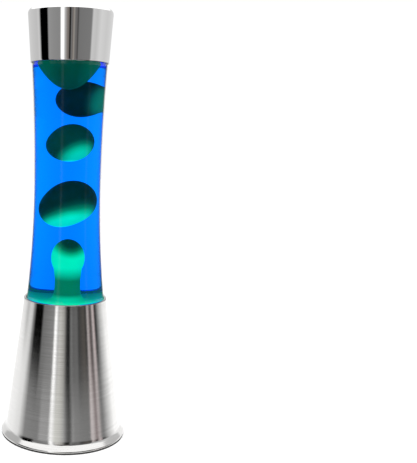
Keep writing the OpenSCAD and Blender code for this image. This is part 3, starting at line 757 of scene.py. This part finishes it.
for name, s in waxLumps.items():
    lump = revolve(name.replace("_", "") + "Lump", lumpOutline(s), 160)
    bendLump(lump, s)
    turn = Matrix.Rotation(math.radians(s["tilt"]), 4, "Y")
    place(lump, Matrix.Translation(np.array(s["centre"]) * mm) @ turn)
    storePaintedGlow(lump, lumpPaintedLight(lump, s))
    stand(lump, name, "wax_green", name)
dome = revolve("waxDome", domeOutline(waxDome), 160)
place(dome, Matrix.Translation(np.array(waxDome["centre"]) * mm))
storePaintedGlow(dome, domePaintedLight(dome, waxDome))
stand(dome, "wax_dome", "wax_green", "wax_dome")
pool = revolve("waxPool", poolOutline(bottle, waxPool), 160)
place(pool, Matrix.Translation((waxPool["across"] * mm, 0, 0)))
storePaintedGlow(pool, *poolPaintedLight(pool, waxPool))
stand(pool, "bottle", "wax_green", "wax_pool")
print("wax ready")

capLow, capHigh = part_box("cap_shell")
cap = {"low": 35.8 * mm, "top": capHigh.x, "bottom": capLow.z, "height": capHigh.z - capLow.z,
       "edge": 4.5 * mm, "wall": 0.6 * mm, "bead": 0.5 * mm, "beadInset": 0.3 * mm,
       "sideFrom": (0.08 * mm, 0.8 * mm), "middle": 2 * mm, "flat": 1 * mm}


def capShell(c):
    # Inside of the top, inside of the side, the small bead of the lower edge, the side, the rounded edge.
    edgeX, edgeZ = c["top"] - c["edge"], c["bottom"] + c["height"] - c["edge"]
    inner = c["edge"] - c["wall"]
    under, over = edgeZ + inner, edgeZ + c["edge"]
    beadX, beadZ = c["low"] - c["beadInset"], c["bottom"] + c["bead"]
    outline = path([[0, under]], line((c["middle"], under), (edgeX, under), 12),
                   arc(edgeX, edgeZ, inner, 90, 0, 12),
                   line((edgeX + inner, edgeZ), (c["low"] - c["wall"], beadZ), 24),
                   arc(beadX, beadZ, c["bead"], 190, 380, 12),
                   line(near((c["low"], beadZ), c["sideFrom"]), (c["top"], edgeZ), 30),
                   arc(edgeX, edgeZ, c["edge"], 0, 90, 18),
                   line((edgeX - c["flat"], over), (c["flat"], over), 12), [[0, over]])
    return revolve("capShell", outline, 256)


capPiece = capShell(cap)
stand(capPiece, "cap", "chrome", "cap_shell")
print("cap ready")

# Cards round the lamp, as (direction in degrees, brightness or colour): 0 is in front, -90 at its left.
cardsHigh = [
    (-180, 0.70), (-130, 0.60), (-103, 0.55), (-95, 0.62), (-91, 0.45), (-87, 0.0), (-64, 0.0), (-61, 0.30),
    (-45, 0.27), (-28, 0.25), (-24, 1.2), (-19, 1.2), (-14, 0.45), (-8, (0.21, 0.185, 0.17)),
    (-5, (0.19, 0.17, 0.155)), (-2, 0.01), (0, 0.01), (3, 0.20), (5, (0.12, 0.105, 0.10)),
    (9, (0.32, 0.295, 0.27)), (13, 0.15), (17, (0.14, 0.13, 0.13)), (19.5, 0.05), (22, 0.16), (25, 0.18),
    (57, 0.2), (62, 0.6), (75, 0.55), (90, 0.68), (115, 0.62), (150, 0.7), (180, 0.7),
]
cardsGlass = [
    (-180, 1.0), (-142, 0.65), (-130, 0.05), (-92, 0.01), (-30, 0.02), (-22, 0.03), (-20, 0.3), (-16, 0.3),
    (-13, 0.03), (0, 0.005), (18, 0.01), (50, 0.01), (52, 0.06), (56, 0.2), (61, 0.04), (130, 0.05),
    (142, 0.65), (180, 1.0),
]
cardsLow = [
    (-180, 1.0), (-129, 0.92), (-114, 0.62), (-102, 0.85), (-94, 0.75), (-88, 0.3), (-80, 0.0), (-60, 0.0),
    (-55, 0.2), (-26, 0.30), (-24, 1.4), (-20, 1.35), (-16, 0.52), (-12, (0.72, 0.71, 0.68)),
    (-1, (0.44, 0.43, 0.41)), (5, 0.04), (12, 0.0), (16, 0.26), (20, 0.15), (31, 0.17), (35, 0.06),
    (49, (0.11, 0.10, 0.09)), (57, 0.04), (60, (0.66, 0.60, 0.59)), (67, (0.12, 0.09, 0.09)), (71, 0.10),
    (77, (0.74, 0.64, 0.64)), (80, (0.55, 0.47, 0.47)), (84, 0.01), (89, 0.1), (102, 0.6), (122, 1.1),
]
cardsFloor = [
    (-180, 1.1), (-120, 1.1), (-98, 0.95), (-87, 0.55), (-80, 0.3), (-50, 0.26), (-44, 0.42), (-28, 0.42),
    (-24, 1.2), (-21, 1.1), (-15, (0.80, 0.80, 0.76)), (-5, (0.67, 0.67, 0.64)), (2, 0.45), (7, 0.2),
    (13, 0.09), (17, 0.2), (20, 0.42), (23, 0.3), (40, 0.26), (55, 0.24), (59, (0.74, 0.67, 0.67)),
    (64, (0.6, 0.55, 0.55)), (70, (0.28, 0.23, 0.23)), (77, (0.58, 0.53, 0.53)), (84, 0.26), (89, 0.26),
    (103, 0.66), (126, 1.25), (180, 1.2),
]
# A wide wall of cards for the steel parts, with heights where one set gives way to the next, and a
# narrow faint one that stands between it and the bottle. Spread is how much taller a wall is at the
# back, below and above.
cardWall = {"name": "cardWall", "radius": 1.0, "low": -1.0, "high": 0.8,
            "cards": (cardsFloor, cardsLow, cardsHigh), "steps": [(-0.10, -0.01), (0.23, 0.27)],
            "spread": (0, 0)}
faintWall = {"name": "faintWall", "radius": 0.1, "low": base["top"] - 1.8 * mm,
             "high": cap["bottom"] - 3.5 * mm, "cards": (cardsGlass,), "steps": [],
             "spread": (10.5 * mm, 5.3 * mm)}
studio = {
    "floorRadius": 4, "floorGlow": 0.3,
    "sky": 0.9, "skySeen": 0.12, "skyMirrored": 0.35,    # the last two are added for such rays
    "lights": {"keyLight": ((-0.8, -1.0, 1.2), 9), "fillLight": ((1.0, -0.6, 0.7), 4)},    # place, watts
    "lightSize": 0.8, "aim": (0, 0, 0.15),
}


def cardMaterial(t):
    # Direction is the angle round the axis from the front; each set of cards is a ramp over it, and one
    # set fades into the next between two heights.
    m = bpy.data.materials.new(t["name"])
    m.use_nodes = True
    tree = m.node_tree
    tree.nodes.clear()
    x, y, z = splitNode(tree, coordinates(tree))
    direction = mathNode(tree, "ARCTAN2", x, mathNode(tree, "MULTIPLY", y, -1.0))
    share = mathNode(tree, "MULTIPLY_ADD", direction, 1 / (2 * math.pi), 0.5)
    tones = [rampNode(tree, share, [(a / 360 + 0.5, v) for a, v in cards]) for cards in t["cards"]]
    tone = tones[0]
    for step, above in zip(t["steps"], tones[1:]):
        tone = mixNode(tree, rangeNode(tree, z, *step), tone, above)
    light = tree.nodes.new("ShaderNodeEmission")
    tree.links.new(tone, light.inputs[0])
    out = tree.nodes.new("ShaderNodeOutputMaterial")
    tree.links.new(light.outputs[0], out.inputs[0])
    m.cycles.emission_sampling = "NONE"
    return m


def makeWall(t):
    # A wall of cards round the lamp, seen only in reflections. It grows taller towards the back, by
    # its spread times the square of 1 - cos(direction), halved.
    outline = np.array([[t["radius"], t["low"]], [t["radius"], t["high"]]])
    wall = revolve(t["name"], outline, 128)
    at = vertexRows(wall, "co")
    grow = np.where(at[:, 2] < (t["low"] + t["high"]) / 2, -t["spread"][0], t["spread"][1])
    at[:, 2] += grow * (1 + at[:, 1] / t["radius"]) ** 2 / 2
    wall.data.vertices.foreach_set("co", at.ravel())
    wall.data.materials.append(cardMaterial(t))
    wall.visible_camera = wall.visible_diffuse = wall.visible_shadow = False
    wall.visible_transmission = wall.visible_volume_scatter = False


def makeFloor(s):
    # A pale round floor that glows a little, so that the lamp's shadow stays faint.
    floor = revolve("floor", np.array([[s["floorRadius"], 0], [0, 0]]), 64)
    m, tree, shader = newMaterial("paleFloor", (0.9, 0.9, 0.9), rough=0.9)
    shader.inputs["Emission Color"].default_value = (1, 1, 1, 1)
    shader.inputs["Emission Strength"].default_value = s["floorGlow"]
    m.cycles.emission_sampling = "NONE"
    floor.data.materials.append(m)
    floor.visible_glossy = floor.visible_transmission = False


def makeWorld(s):
    # White behind the lamp, a little darker where it lights the lamp, and brighter in reflections.
    world = bpy.data.worlds.new("studio")
    bpy.context.scene.world = world
    world.use_nodes = True
    tree = world.node_tree
    back = tree.nodes["Background"]
    kind = tree.nodes.new("ShaderNodeLightPath")
    seen = mathNode(tree, "MAXIMUM", kind.outputs["Is Camera Ray"], kind.outputs["Is Transmission Ray"])
    back.inputs[0].default_value = (1, 1, 1, 1)
    lit = mathNode(tree, "MULTIPLY_ADD", seen, s["skySeen"], s["sky"])
    glossy = kind.outputs["Is Glossy Ray"]
    tree.links.new(mathNode(tree, "MULTIPLY_ADD", glossy, s["skyMirrored"], lit), back.inputs[1])


def areaLight(name, stance, aim, size, power):
    # A square light that stands in one place and faces another, and shows in no reflection.
    data = bpy.data.lights.new(name, "AREA")
    data.size, data.energy = size, power
    light = bpy.data.objects.new(name, data)
    light.location = stance
    way = Matrix.Translation(aim).to_translation() - light.location
    light.rotation_euler = way.to_track_quat("-Z", "Y").to_euler()
    light.visible_glossy = False
    bpy.context.collection.objects.link(light)


makeWall(cardWall)
makeWall(faintWall)
makeFloor(studio)
makeWorld(studio)
for name, (stance, power) in studio["lights"].items():
    areaLight(name, stance, studio["aim"], studio["lightSize"], power)
bpy.context.scene.view_settings.view_transform = "Standard"
print("studio ready")
